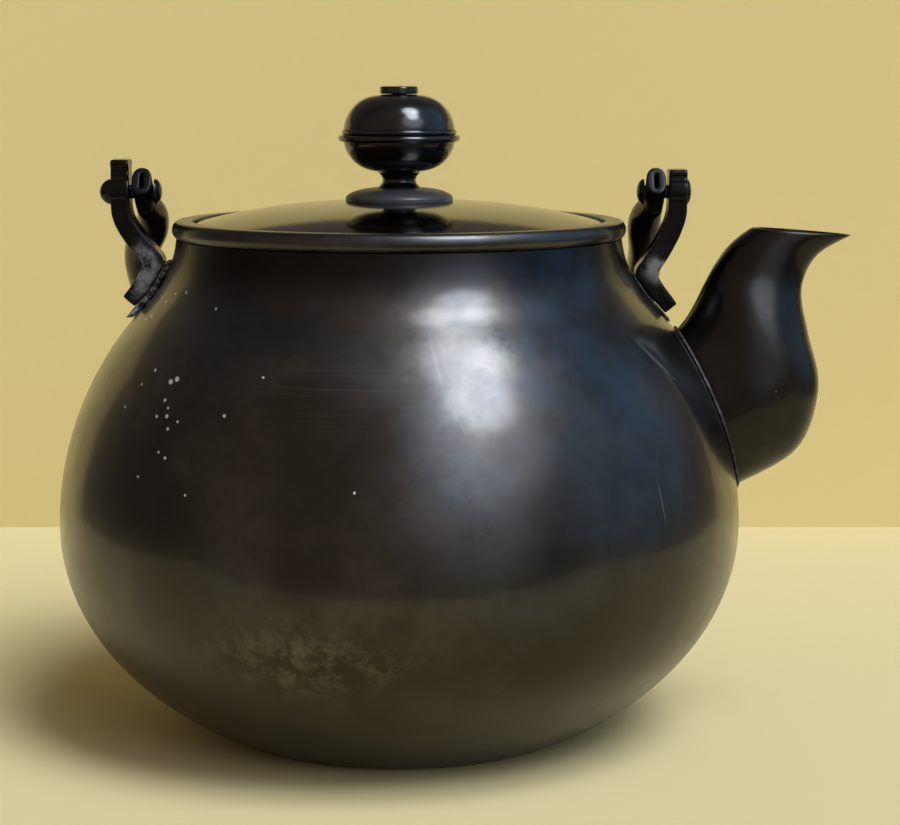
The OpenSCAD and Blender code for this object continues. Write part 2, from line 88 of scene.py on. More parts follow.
def smooth(piece, angle=SMOOTH_ANGLE):
    only(piece)
    bpy.ops.object.shade_smooth_by_angle(angle=angle)


def lathe(name, outline, steps, axis="Z", height=0.0):
    """Turns (radius, place along the axis) points, in mm, into a piece at a height."""
    def place(point):
        r, along = point
        if axis == "Z":
            return Vector((r, 0, along + height)) * MM
        return Vector((along, 0, height + r)) * MM

    bpy.ops.object.select_all(action="DESELECT")
    bpy.ops.mesh.primitive_plane_add(size=MM, location=place(outline[0]))
    piece = bpy.context.object
    piece.name = name
    bpy.ops.object.transform_apply(location=True, rotation=True, scale=True)
    bpy.ops.object.mode_set(mode="EDIT")
    bpy.ops.mesh.select_all(action="SELECT")
    bpy.ops.mesh.merge(type="CENTER")
    for here, there in zip(outline, outline[1:]):
        move = place(there) - place(here)
        bpy.ops.mesh.extrude_region_move(TRANSFORM_OT_translate={"value": move})
    bpy.ops.mesh.select_all(action="SELECT")
    if axis == "X":
        centre, about = (0, 0, height * MM), (1, 0, 0)
    else:
        centre, about = (0, 0, 0), (0, 0, 1)
    bpy.ops.mesh.spin(steps=steps, angle=math.tau, center=centre, axis=about)
    bpy.ops.mesh.select_all(action="SELECT")
    bpy.ops.mesh.remove_doubles(threshold=MERGE)
    bpy.ops.mesh.normals_make_consistent(inside=False)
    bpy.ops.object.mode_set(mode="OBJECT")
    smooth(piece)
    print(name, len(piece.data.polygons), "faces")
    return piece


def copy_node(name, node):
    """Copies a CAD node's mesh into a new piece, with its loose triangles merged."""
    piece = bpy.data.objects.new(name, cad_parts[node].data.copy())
    piece.data.materials.clear()
    bpy.context.scene.collection.objects.link(piece)
    only(piece)
    bpy.ops.mesh.customdata_custom_splitnormals_clear()
    bpy.ops.object.mode_set(mode="EDIT")
    bpy.ops.mesh.select_all(action="SELECT")
    bpy.ops.mesh.remove_doubles(threshold=MERGE)
    bpy.ops.object.mode_set(mode="OBJECT")
    return piece


def seat(piece, body, slot, *nodes):
    """Fixes a piece to its body and hides the CAD nodes it stands for; slot is not used."""
    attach(piece, body)
    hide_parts(*nodes)


# %% [markdown]
# ## The belly
#
# The outline of the body is one line: a low ellipse from the base to the belly, a taller
# one up the shoulder, and a soft curve into the neck. The same numbers are in the
# construction source, so the turned piece lies exactly on the CAD shell.

# %% Body outline
BELLY_R, BELLY_Z, BASE_R = 82.5, 51.0, 43.0
SHOULDER_RISE, SHOULDER_SHARE = 78.5, 0.675
SHOULDER_TOP = BELLY_Z + SHOULDER_RISE * SHOULDER_SHARE
NECK_R, NECK_H, WALL = 53.5, 15.6, 1.4
NECK_Z = SHOULDER_TOP + NECK_H
BASE_LIP = 0.9
LOW_RISE = BELLY_Z / math.sqrt(1 - (BASE_R / BELLY_R) ** 2)
NECK_SLOPE = -0.12
SEAT_GAP = 0.05  # left where one piece stands on another
OUTER_ROWS, INNER_ROWS, CROWDING = 84, 40, 1.4


def ellipse_r(rx, rz, h):
    return rx * math.sqrt(max(0.0, 1 - (h / rz) ** 2))


def shoulder_r(z, grow=0.0):
    return ellipse_r(BELLY_R + grow, SHOULDER_RISE + grow, z - BELLY_Z)


def body_r(z, grow=0.0):
    """Outside radius of the body at height z, in mm, grown by grow."""
    if z < BELLY_Z:
        return ellipse_r(BELLY_R + grow, LOW_RISE + grow, BELLY_Z - z)
    if z < SHOULDER_TOP:
        return shoulder_r(z, grow)
    slope = shoulder_r(SHOULDER_TOP) - shoulder_r(SHOULDER_TOP - 1)
    t = min(1.0, (z - SHOULDER_TOP) / NECK_H)
    start, end = shoulder_r(SHOULDER_TOP, grow), NECK_R + grow
    return (start * (1 + 2 * t) * (1 - t) ** 2 + slope * NECK_H * t * (1 - t) ** 2
            + end * t * t * (3 - 2 * t) + NECK_SLOPE * NECK_H * t * t * (t - 1))


def body_line(count, grow=0.0):
    """Points up the body, closest together near the base."""
    run = NECK_Z - BASE_LIP
    heights = [BASE_LIP + run * (i / count) ** CROWDING for i in range(count + 1)]
    return [(body_r(z, grow), z) for z in heights]


# %% Turn the shell and cut the spout's hole
outside, inside = body_line(OUTER_ROWS), body_line(INNER_ROWS, -WALL)
shell = lathe("kettle_shell", outside + inside[::-1] + outside[:1], steps=WIDE_STEPS)
ROOT_DROP, ROOT_H, ROOT_W, SPOUT_T = 45.0, 38.0, 12.6, 1.2
HOLE_SIDE, HOLE_END, HOLE_STEPS = 2.5, 3, 48  # both margins are in sheet thicknesses
ROOT_MID = SHOULDER_TOP - ROOT_DROP + ROOT_H / 2
bpy.ops.object.select_all(action="DESELECT")
bpy.ops.mesh.primitive_cylinder_add(vertices=HOLE_STEPS, radius=1, depth=1,
                                    rotation=(0, math.pi / 2, 0),
                                    location=(BELLY_R * MM, 0, ROOT_MID * MM))
cutter = bpy.context.object
bpy.ops.object.transform_apply(location=False, rotation=True, scale=True)
cutter.scale = (BELLY_R * MM, (ROOT_W - HOLE_SIDE * SPOUT_T) * MM,
                (ROOT_H / 2 - HOLE_END * SPOUT_T) * MM)
apply_modifier(shell, "BOOLEAN", object=cutter, operation="DIFFERENCE", solver="EXACT")
bpy.data.objects.remove(cutter)
smooth(shell)
seat(shell, "kettle", "patina", "body_upper", "body_lower")
print("shell faces:", len(shell.data.polygons))

# %% [markdown]
# ## The mouth
#
# A rounded bead runs round the mouth, with a sunk seat inside it for the lid. A filed bead
# has no sharp inner corner, so its inner edge gets a small round of its own.

# %% Mouth ring
BEAD_OUT, BEAD_H, BEAD_W, BEAD_ROUND = 1.0, 4.3, 5.0, 1.7
SEAT_DEPTH, LEDGE_W, LEDGE_T, SKIRT_H, SKIRT_T = 2.0, 3.4, 1.2, 6.0, 1.2
BEAD_R = NECK_R + BEAD_OUT
RING_TOP = NECK_Z + BEAD_H
SEAT_R = BEAD_R - BEAD_W
SEAT_Z = RING_TOP - SEAT_DEPTH
LEDGE_R = SEAT_R - LEDGE_W
SKIRT_R = NECK_R - WALL - SEAT_GAP


def arc(start, end, count):
    """Angles in radians from start to end degrees."""
    return [math.radians(start + (end - start) * i / count) for i in range(count + 1)]


EASED = 0.35
bead = [(BEAD_R - BEAD_ROUND + BEAD_ROUND * math.cos(a), NECK_Z + BEAD_H / 2 * (1 + math.sin(a)))
        for a in arc(-90, 90, 18)]
lip = [(SEAT_R + EASED * (1 - math.sin(a)), RING_TOP - EASED * (1 - math.cos(a)))
       for a in arc(0, 90, 4)]
ring_outline = bead + lip + [
    (SEAT_R, SEAT_Z), (LEDGE_R, SEAT_Z), (LEDGE_R, SEAT_Z - LEDGE_T),
    (SKIRT_R - SKIRT_T, SEAT_Z - LEDGE_T), (SKIRT_R - SKIRT_T, NECK_Z - SKIRT_H),
    (SKIRT_R, NECK_Z - SKIRT_H), (SKIRT_R, NECK_Z)] + bead[:1]
mouth = lathe("mouth_bead", ring_outline, steps=WIDE_STEPS)
seat(mouth, "kettle", "rim", "mouth_ring")

# %% [markdown]
# ## The lid
#
# The lid is a shallow dome that drops into the seat and lies just below the bead. Its edge
# is as thin as the sheet and slightly rounded by polishing.

# %% Lid plate
PLAY, PIN_GAP = 0.3, 0.05
LID_GAP, LID_RISE, LID_T, LID_POWER = 0.8, 5.2, 1.3, 2.4
LID_ROWS, LID_CROWDING, EDGE_ROUND = 40, 0.8, 0.3
STUD_R = 1.8
STUD_HOLE = STUD_R + PIN_GAP
LID_R = SEAT_R - LID_GAP
LID_LOW = SEAT_Z + PLAY / 3


def lid_top(r):
    return LID_LOW + LID_T + LID_RISE * (1 - (r / LID_R) ** LID_POWER)


radii = [STUD_HOLE + (LID_R - STUD_HOLE) * (i / LID_ROWS) ** LID_CROWDING
         for i in range(LID_ROWS + 1)]
crown = [(r, lid_top(r)) for r in radii]
edge = [(LID_R - EDGE_ROUND * (1 - math.cos(a)), lid_top(LID_R) - EDGE_ROUND * (1 - math.sin(a)))
        for a in arc(90, 0, 4)]
below = [(r, z - LID_T) for r, z in crown[::-2]]
lid = lathe("lid_plate_polished", crown[:-1] + edge + below + crown[:1], steps=WIDE_STEPS)
seat(lid, "lid", "lid", "lid_plate")

# %% [markdown]
# ## The knob
#
# The knob is turned in separate pieces that are clenched together on one stud: a cushion,
# a waisted stem, a bowl, a double band, a dome and a button. Each piece is turned here on
# its own, so the fine dark lines between them are real gaps and not painted.

# %% Knob heights and curves
BAND_D, BAND_H, DOME_H, BOWL_H, STEM_H, STEM_D = 29.2, 3.0, 8.3, 7.3, 3.6, 8.0
KNOB_T, SEAT_D, SEAT_H, SEAT_EDGE = 1.2, 25.8, 3.3, 0.8
BUTTON_D, BUTTON_H, BUTTON_SOFT, BUTTON_FOOT, BUTTON_DIP = 9.2, 1.8, 0.5, 0.3, 0.25
BAND_OUT, LOW_SHARE, TOP_BACK, FLARE = 1.3, 0.55, 0.8, 1.2
SIDE_POWER, TOP_POWER = 0.57, 1.25  # a full side and a gently pointed top
BOWL_R = BAND_D / 2 - BAND_OUT
KNOB_Z = lid_top(SEAT_D / 2)
STEM_Z = KNOB_Z + SEAT_H
BOWL_Z = STEM_Z + STEM_H
BAND_Z = BOWL_Z + BOWL_H
DOME_Z = BAND_Z + BAND_H
DOME_TOP = DOME_Z + DOME_H


def bun(r, h, count=30):
    """Outline of a bun, from its flat top on the axis out to radius r."""
    line = [(r * math.sin(a) ** SIDE_POWER, h * max(0.0, math.cos(a)) ** TOP_POWER)
            for a in arc(0, 90, count)]
    return [(x, y) for x, y in line if x > STUD_HOLE]


def cup(r, h, base, up):
    """Closed outline of a thin cup: up is 1 for a dome and -1 for a bowl."""
    outer = [(x, base + up * y) for x, y in bun(r, h)]
    inner = [(x, base + up * y) for x, y in bun(r - KNOB_T, h - KNOB_T, 16)]
    tip = base + up * h
    return ([(STUD_HOLE, tip)] + outer + inner[::-1]
            + [(STUD_HOLE, tip - up * KNOB_T), (STUD_HOLE, tip)])


# %% Turn the knob's pieces
under = [(r, lid_top(r) + SEAT_GAP) for r in (SEAT_D / 2, 10.5, 8, 5.5, 3.5, STUD_HOLE)]
cushion = [(x, KNOB_Z + SEAT_EDGE + y) for x, y in bun(SEAT_D / 2, SEAT_H - SEAT_EDGE)]
knob_seat = lathe("knob_cushion", under + [(STUD_HOLE, STEM_Z)] + cushion + under[:1],
                  steps=KNOB_STEPS)
seat(knob_seat, "lid", "knob", "knob_seat")

waist = [(STEM_D / 2 + FLARE * (2 * t - 1) ** 2, STEM_Z + STEM_H * t)
         for t in [i / 16 for i in range(17)]]
stem = lathe("knob_waist", [(STUD_HOLE, STEM_Z)] + waist
             + [(STUD_HOLE, BOWL_Z), (STUD_HOLE, STEM_Z)], steps=KNOB_STEPS)
seat(stem, "lid", "knob", "knob_stem")

bowl = lathe("knob_cup", cup(BOWL_R, BOWL_H, BAND_Z, -1), steps=KNOB_STEPS)
seat(bowl, "lid", "knob", "knob_bowl")
dome = lathe("knob_cap", cup(BOWL_R, DOME_H, DOME_Z, 1), steps=KNOB_STEPS)
seat(dome, "lid", "knob", "knob_dome")

# %% Double band and button
low_h = BAND_H * LOW_SHARE
top_h = BAND_H - low_h
band_r = BAND_D / 2
low_bead = [(band_r - low_h / 2 * (1 - math.cos(a)), BAND_Z + low_h / 2 * (1 + math.sin(a)))
            for a in arc(-90, 80, 14)]
top_bead = [(band_r - TOP_BACK - top_h / 2 * (1 - math.cos(a)),
             BAND_Z + low_h + top_h / 2 * (1 + math.sin(a))) for a in arc(-70, 90, 12)]
inner = BOWL_R - KNOB_T
band = lathe("knob_double_band", [(inner, BAND_Z)] + low_bead + top_bead
             + [(inner, DOME_Z), (inner, BAND_Z)], steps=KNOB_STEPS)
seat(band, "lid", "knob", "knob_band")

button_r, button_z = BUTTON_D / 2, DOME_TOP + SEAT_GAP
button_foot = [(0, button_z), (button_r - BUTTON_FOOT, button_z),
               (button_r, button_z + BUTTON_FOOT)]
button_side = [(button_r - BUTTON_SOFT * (1 - math.cos(a)),
                button_z + BUTTON_H - BUTTON_SOFT * (1 - math.sin(a))) for a in arc(0, 90, 6)]
button_dip = [(x, button_z + BUTTON_H - BUTTON_DIP * math.cos(x / button_r * math.pi / 2) ** 2)
              for x in (3.2, 2.4, 1.6, 0.8, 0.0)]
button = lathe("knob_cap_button", button_foot + button_side + button_dip, steps=BUTTON_STEPS)
seat(button, "lid", "knob", "knob_button")

# %% [markdown]
# ## The spout
#
# A gooseneck spout is raised from one piece of sheet, so no primitive comes near its
# shape. The construction model already lofts it through measured sections. A copy of that
# loft is merged, its triangles are joined into the quads they came from, and one level of
# subdivision rounds it off, the thin rim of the mouth with it.

# %% Spout and its solder line
def refine(name, node):
    """A copy of a CAD loft, its triangles joined back into quads and rounded by subdivision."""
    piece = copy_node(name, node)
    only(piece)
    bpy.ops.object.mode_set(mode="EDIT")
    bpy.ops.mesh.select_all(action="SELECT")
    bpy.ops.mesh.tris_convert_to_quads(face_threshold=math.pi, shape_threshold=math.pi)
    bpy.ops.object.mode_set(mode="OBJECT")
    apply_modifier(piece, "SUBSURF", levels=1, render_levels=1)
    smooth(piece, LOFT_ANGLE)
    print(piece.name, len(piece.data.polygons), "faces")
    return piece


spout = refine("spout_gooseneck", "spout")
seat(spout, "kettle", "patina", "spout")
seam = refine("spout_seam", "spout_solder")
seat(seam, "kettle", "solder", "spout_solder")

# %% [markdown]
# ## Ears, eyes and solder
#
# The ears are forged strap with soft, hand-filed corners, and the solder round their feet
# is lumpy. Remeshing a copy of a solid into an even grid of small faces and then relaxing
# that grid rounds every corner at once, which a bevel can't do where so many curved faces
# meet.

# %% Soften the forged pieces
def forge(name, node, voxel, passes, lumps=0.0, lump_size=1.0):
    """A softened copy of a CAD solid, with optional lumps on its surface; sizes in mm."""
    piece = copy_node(name, node)
    apply_modifier(piece, "REMESH", mode="VOXEL", voxel_size=voxel * MM)
    apply_modifier(piece, "SMOOTH", factor=0.5, iterations=passes)
    if lumps:
        texture = bpy.data.textures.new(name, "CLOUDS")
        texture.noise_scale = lump_size * MM
        texture.noise_depth = 2
        apply_modifier(piece, "DISPLACE", texture=texture, strength=lumps * MM, mid_level=0.5,
                       texture_coords="LOCAL")
    only(piece)
    bpy.ops.object.shade_smooth()
    print(name, len(piece.data.polygons), "faces")
    return piece


for side in ("left", "right"):
    ear = forge("ear_strap_" + side, "ear_" + side, voxel=0.28, passes=8, lumps=0.12, lump_size=5)
    seat(ear, "kettle", "black_iron", "ear_" + side)
    pad = forge("ear_tin_" + side, "ear_solder_" + side, voxel=0.25, passes=5, lumps=0.5,
                lump_size=2.5)
    seat(pad, "kettle", "solder", "ear_solder_" + side)
    eye = forge("bail_knuckle_" + side, "bail_eye_" + side, voxel=0.25, passes=6)
    seat(eye, "bail", "black_iron", "bail_eye_" + side)

# %% [markdown]
# ## The bail and its rivets
#
# The bail is a hollow tube, oval in section, that swells from its eyes to a full grip. It
# is a loft as the spout is, and is refined in the same way. A rivet's heads are peened
# over: each is turned as a low dome, deeper on the outside of the left ear.

# %% Bail and rivets
bail = refine("bail_grip", "bail_handle")
seat(bail, "bail", "black_iron", "bail_handle")

PIN_RISE, PIN_R, HEAD_R, HEAD_IN = 6.6, 1.6, 3.1, 1.7
HEAD_OUT = {"left": 3.0, "right": 1.2}
PIN_Z = RING_TOP + PIN_RISE
for side, way in (("left", -1), ("right", 1)):
    near, far = sorted(corner[0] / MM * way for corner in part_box("bail_pin_" + side))
    start, end = near + HEAD_IN, far - HEAD_OUT[side]
    head_in = [(HEAD_R * math.cos(a), start - HEAD_IN * math.sin(a)) for a in arc(90, 0, 10)]
    head_out = [(HEAD_R * math.cos(a), end + (far - end) * math.sin(a)) for a in arc(0, 90, 10)]
    outline = [(max(r, 0.0), way * x)
               for r, x in head_in + [(PIN_R, start), (PIN_R, end)] + head_out]
    rivet = lathe("rivet_" + side, outline, steps=RIVET_STEPS, axis="X", height=PIN_Z)
    seat(rivet, "kettle", "black_iron", "bail_pin_" + side)

# %% [markdown]
# ## Writing materials as sums
#
# A finish is easier to read as a sum than as a web of nodes. One small class wraps a
# socket, and arithmetic on it adds the Math nodes. Colours are mixed in one method, and
# every other node comes from another.

# %% A small language for finishes
class Value:
    """One output of a finish's nodes."""

    def __init__(self, finish, socket):
        self.finish = finish
        self.socket = socket

    def math(self, operation, *values):
        return self.finish.node("ShaderNodeMath", {"operation": operation}, *values)

    def __add__(self, other):
        return self.math("ADD", self, other)

    __radd__ = __add__

    def __sub__(self, other):
        return self.math("SUBTRACT", self, other)

    def __rsub__(self, other):
        return self.math("SUBTRACT", other, self)

    def __mul__(self, other):
        return self.math("MULTIPLY", self, other)

    __rmul__ = __mul__

    def clear(self):
        """Keeps the value between 0 and 1."""
        return self.math("MINIMUM", self.math("MAXIMUM", self, 0.0), 1.0)


SPECK_EDGE = 0.04


class Finish:
    """A procedural finish on Blender's main surface shader."""

    def __init__(self, name, **fixed):
        self.material = bpy.data.materials.new(name)
        self.material.use_nodes = True
        self.tree = self.material.node_tree
        self.shader = self.tree.nodes["Principled BSDF"]
        for socket, value in fixed.items():
            self.shader.inputs[socket.replace("_", " ")].default_value = value
        self.where = self.node("ShaderNodeTexCoord", {}, out="Object")

    def feed(self, socket, value):
        if isinstance(value, Value):
            self.tree.links.new(value.socket, socket)
        else:
            socket.default_value = value

    def node(self, kind, settings, *values, out=0, **named):
        """Adds a node: its settings first, then the values or links of its sockets."""
        made = self.tree.nodes.new(kind)
        for name, value in settings.items():
            setattr(made, name, value)
        for socket, value in zip(made.inputs, values):
            self.feed(socket, value)
        for name, value in named.items():
            self.feed(made.inputs[name.replace("_", " ")], value)
        return Value(self, made.outputs[out])

    def mix(self, mask, first, second):
        """Colour that runs from first to second as mask runs from 0 to 1."""
        made = self.node("ShaderNodeMix", {"data_type": "RGBA"}, out=2)
        inputs = made.socket.node.inputs
        for socket, value in zip((inputs[0], inputs[6], inputs[7]), (mask, first, second)):
            self.feed(socket, (*value, 1) if isinstance(value, tuple) else value)
        return made

    def stretch(self, scale, centre=(0, 0, 0), turn=(0, 0, 0)):
        """Object coordinates about a centre, in mm, turned and divided by scale, in mm."""
        return self.node("ShaderNodeMapping", {"vector_type": "TEXTURE"}, self.where,
                         Location=[c * MM for c in centre], Rotation=turn,
                         Scale=[s * MM for s in scale])

    def noise(self, scale, detail=3.0, rough=0.5):
        """Soft noise with features scale mm across, from about 0.3 to 0.7."""
        size = scale if isinstance(scale, tuple) else (scale,) * 3
        return self.node("ShaderNodeTexNoise", {}, Vector=self.stretch(size), Scale=1.0,
                         Detail=detail, Roughness=rough)

    def band(self, value, low, high):
        """0 below low, 1 above high, and a ramp between them."""
        return self.node("ShaderNodeMapRange", {"clamp": True, "interpolation_type": "SMOOTHSTEP"},
                         value, low, high, 0.0, 1.0)

    def spot(self, centre, size, turn=0.0):
        """A soft oval mask, 1 at its centre; centre and half-sizes in mm, turned about Y."""
        return self.band(1 - self.length(self.stretch(size, centre, (0, turn, 0))), 0.0, 1.0)

    def length(self, vector):
        return self.node("ShaderNodeVectorMath", {"operation": "LENGTH"}, vector, out="Value")

    def specks(self, spacing, radius):
        """Small round dots, one in each cell of about spacing mm."""
        cell = self.node("ShaderNodeTexVoronoi", {}, Vector=self.stretch((spacing,) * 3),
                         Scale=1.0, out="Distance")
        return self.band(radius / spacing - cell, 0.0, SPECK_EDGE)

    def bump(self, height, strength, distance):
        return self.node("ShaderNodeBump", {}, Strength=strength, Distance=distance * MM,
                         Height=height)

    def paint(self, piece):
        piece.data.materials.clear()
        piece.data.materials.append(self.material)


# %% [markdown]
# ## Patinated sheet metal
#
# The patina is a thin, waxed, near-black film over copper alloy. It mirrors only a few
# hundredths of the light, more at the edges, so the base is a metal of a very dark brown.
# Two lobes make its shine: a broad one from the micro-roughness of the patina, and a sharp
# thin coat from the wax, which shows the floor's edge as a line. Colour and shine drift in
# cloudy patches and smudges, and fine rings from polishing lie faintly in the surface.

# %% Patina
BROWN_BLACK = (0.060, 0.052, 0.046)
DARK_SHARE, BLUE_SHARES = 0.55, (0.70, 0.95, 1.30)


def worn_patina(name, tone=BROWN_BLACK):
    """The cloudy ground that body, base, spout, rim and lid share, not yet painted on."""
    skin = Finish(name, Metallic=1.0, Coat_Roughness=0.11, Coat_IOR=1.46)
    clouds = skin.noise(26, 5, 0.6)
    fine = skin.noise(3.2, 4, 0.65)
    rings = skin.noise((60, 60, 0.9), 4, 0.7)
    smudges = skin.noise(9, 5, 0.65)
    dark = tuple(c * DARK_SHARE for c in tone)
    blue = tuple(c * share for c, share in zip(tone, BLUE_SHARES))
    skin.colour = skin.mix(skin.band(clouds, 0.38, 0.66), dark, tone)
    skin.colour = skin.mix(skin.band(skin.noise(55, 2), 0.5, 0.72) * 0.7, skin.colour, blue)
    skin.colour = skin.mix(skin.band(smudges, 0.48, 0.66) * 0.5, skin.colour, dark)
    skin.colour = skin.mix(skin.band(fine, 0.50, 0.68) * 0.4, skin.colour, dark)
    skin.rough = 0.14 + 0.12 * clouds + 0.20 * smudges + 0.06 * fine
    skin.coat = 0.42 + 0.5 * clouds - 0.25 * fine
    skin.height = 0.6 * clouds + 0.25 * smudges + 0.05 * fine + 0.05 * rings
    skin.fine, skin.clouds = fine, clouds
    return skin


def lay(skin, strength=0.35, distance=0.25):
    """Links a finish's colour, roughness, coat and height to its shader; distance in mm."""
    skin.feed(skin.shader.inputs["Base Color"], skin.colour)
    skin.feed(skin.shader.inputs["Roughness"], skin.rough.clear())
    varies = isinstance(skin.coat, Value)
    skin.feed(skin.shader.inputs["Coat Weight"], skin.coat.clear() if varies else skin.coat)
    skin.feed(skin.shader.inputs["Normal"], skin.bump(skin.height, strength, distance))
    return skin


# %% [markdown]
# ## Wear and painted light on the belly
#
# Wear has a place, and so does painted light. The neck under the bead is painted near-black as
# shade, the underside is painted a darker brown as shade, and a cool blue reflection is painted
# on the right of the shoulder. Wax is broken in dull pits on the front, lime has bloomed low
# down, and drops have dried high on the left. Each is a mask times a colour.

# %% Painted shade on the neck and underside, painted cool reflection on the shoulder
# The first three colours are painted light: shade under the bead, shade low down, and a cool
# reflection on the shoulder
PAINTED_NECK_SHADE, PAINTED_UNDER_SHADE, PAINTED_COOL_REFLECTION = (0.010, 0.009, 0.009), (0.034, 0.025, 0.011), (0.036, 0.052, 0.078)
PIT, LIME, DRIED_DROP = (0.020, 0.019, 0.019), (0.20, 0.19, 0.135), (0.55, 0.55, 0.52)
BARE_SCRATCH, RUBBED = (0.42, 0.42, 0.41), (0.15, 0.13, 0.11)

belly = worn_patina("patina_belly")
# A height in mm runs up the belly, and the masks below are given in the same mm
height = belly.node("ShaderNodeSeparateXYZ", {}, belly.stretch((1, 1, 1)), out="Z")
# Painted shade: the neck under the bead is darkened to near-black
neck = belly.band(height, 105, 116)
belly.colour = belly.mix(neck * 0.85, belly.colour, PAINTED_NECK_SHADE)
# Painted shade: darker warm brown towards the bottom, for the shadowed floor that the underside
# reflects
low = belly.band(60 - height, 8, 32)
belly.colour = belly.mix(low * 0.6, belly.colour, PAINTED_UNDER_SHADE)
belly.coat = belly.coat * (1 - 0.55 * low) * (1 - 0.7 * neck)
# Painted reflection: a cool blue tint on the right of the shoulder, broken up by noise
cool = belly.spot((58, -42, 98), (62, 70, 44)) * belly.band(belly.noise(9, 4, 0.6), 0.34, 0.66)
belly.colour = belly.mix(cool * 0.75, belly.colour, PAINTED_COOL_REFLECTION)

# %% Pits, bloom and dried drops
pits = belly.band(belly.noise(5.5, 4, 0.6), 0.52, 0.70)
worn = belly.spot((20, -60, 101), (16, 40, 16), 0.2)
belly.rough = belly.rough + 0.10 * pits * worn
belly.colour = belly.mix(pits * worn * 0.75, belly.colour, PIT)

lime_spots = belly.band(belly.noise(6, 6, 0.75), 0.42, 0.66)
bloom = belly.spot((-20, -77, 34), (34, 30, 15), -0.1) * lime_spots
belly.colour = belly.mix(bloom * 0.5, belly.colour, LIME)
belly.rough = belly.rough + 0.18 * bloom
# Each dried drop: its place x, y, z and its half-width, all in mm
SPLASHES = ((-51.1, -26.2, 108.3, 0.44), (-48.1, -30.5, 109, 0.55), (-55.1, -19.5, 106.9, 0.44),
            (-53.5, -24.4, 106.3, 0.44), (-57.1, -23.8, 103, 0.55), (-58.7, -22.3, 102, 0.44),
            (-40.1, -42.8, 106.5, 0.44), (-53.8, -44.4, 92.9, 0.55), (-49.6, -50.7, 91.1, 0.88),
            (-48.1, -51.5, 91.8, 0.88), (-57, -43.7, 89.6, 0.44), (-50.7, -52.7, 87.3, 0.55),
            (-49.8, -54.6, 85.8, 0.44), (-52.5, -53.5, 83.8, 0.55), (-50, -55.6, 84.1, 0.66),
            (-47.3, -58.4, 83.3, 0.44), (-49.6, -57.5, 81.6, 0.55), (-51.6, -58.5, 76.6, 0.44),
            (-50, -60.3, 75.6, 0.55), (-56.5, -56.4, 70.8, 0.44), (-28.1, -63.2, 93.7, 0.44),
            (-36.5, -64.4, 85.5, 0.55), (-7.9, -79.3, 71.3, 0.44), (-60.9, -43.2, 84.4, 0.44),
            (-45, -66.6, 68.5, 0.44))
DROP_DEPTH = 1.8
dots = sum(belly.band(belly.spot((x, y, z), (size, size * DROP_DEPTH, size)), 0.0, 0.5)
           for x, y, z, size in SPLASHES)
belly.colour = belly.mix(dots.clear(), belly.colour, DRIED_DROP)
belly.rough = belly.rough + 0.4 * dots

# %% Scratches and rubbing lines
SCRATCH_DEPTH = 14


def scratch(skin, centre, length, turn, width, strength):
    """A straight bright scratch across the front: sizes in mm, turn in degrees."""
    line = skin.spot(centre, (length / 2, SCRATCH_DEPTH, width), math.radians(turn)) * strength
    skin.colour = skin.mix(line, skin.colour, BARE_SCRATCH)
    skin.rough = skin.rough + 0.1 * line


scratch(belly, (59, -34.5, 94), length=21, turn=45, width=0.55, strength=0.5)
scratch(belly, (59, -55.3, 65), length=15, turn=78, width=0.22, strength=0.35)
scratch(belly, (9, -66, 98), length=30, turn=74, width=0.8, strength=0.025)
scratch(belly, (15, -70, 84), length=18, turn=58, width=0.7, strength=0.02)
fine_lines = belly.band(belly.noise((26, 26, 0.4), 3, 0.6), 0.48, 0.66)
rubbed = fine_lines * belly.spot((-14, -68, 92), (28, 30, 14))
belly.colour = belly.mix(rubbed * 0.2, belly.colour, RUBBED)
lay(belly)
belly.paint(shell)

# %% Spout and base
BARE_LIP, SPECK = (0.5, 0.49, 0.46), (0.4, 0.4, 0.38)
gooseneck = worn_patina("patina_spout", tone=(0.029, 0.026, 0.024))
rubbed_spots = gooseneck.band(gooseneck.noise(3, 4, 0.6), 0.35, 0.6)
worn_lip = rubbed_spots * gooseneck.spot((103, 0, 122.2), (10, 9, 1.3))
gooseneck.colour = gooseneck.mix(worn_lip, gooseneck.colour, BARE_LIP)
gooseneck.colour = gooseneck.mix(gooseneck.specks(7.0, 0.25), gooseneck.colour, SPECK)
scratch(gooseneck, (100.8, -6, 77), length=7, turn=80, width=0.2, strength=0.5)
gooseneck.coat = gooseneck.coat * 0.7
lay(gooseneck)
gooseneck.paint(spout)

lay(worn_patina("patina_base")).paint(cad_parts["base_plate"])

# %% [markdown]
# ## Polished rim and lid
#
# The bead and the lid have been polished more than the body. The lid is almost a mirror,
# with faint turning lines round the knob. The bead is softer, under an even coat of wax.

# %% Rim and lid
rim = worn_patina("patina_rim", tone=(0.085, 0.082, 0.078))
rim.rough = 0.26 + 0.12 * rim.clouds + 0.06 * rim.fine
rim.coat = 0.3
lay(rim, 0.2, 0.15).paint(mouth)

plate = worn_patina("patina_lid", tone=(0.095, 0.082, 0.066))
from_axis = plate.length(plate.stretch((1, 1, 1000)))
turned = plate.node("ShaderNodeTexNoise", {"noise_dimensions": "1D"}, W=from_axis, Scale=1.6,
                    Detail=4.0)
plate.rough = 0.04 + 0.08 * plate.clouds + 0.04 * turned + 0.03 * plate.fine
plate.coat = 0.1
plate.height = 0.25 * plate.clouds + 0.03 * turned
lay(plate, 0.2, 0.2)
plate.paint(lid)
for hidden in ("lid_flange", "stud_washer", "knob_stud"):
    plate.paint(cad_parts[hidden])

# %% [markdown]
# ## Black iron and solder
#
# Ears, bail and knob are black and glossy, with a fine grain under the polish. The knob is
# the glossiest. Its flat cushion and the bail's eyes are duller. Solder is grey, dark in its
# hollows and bright on its lumps, and it has run up the straps from the feet, so the ears'
# own finish fades into tin there. The left foot's solder is bright and the rest is dull.

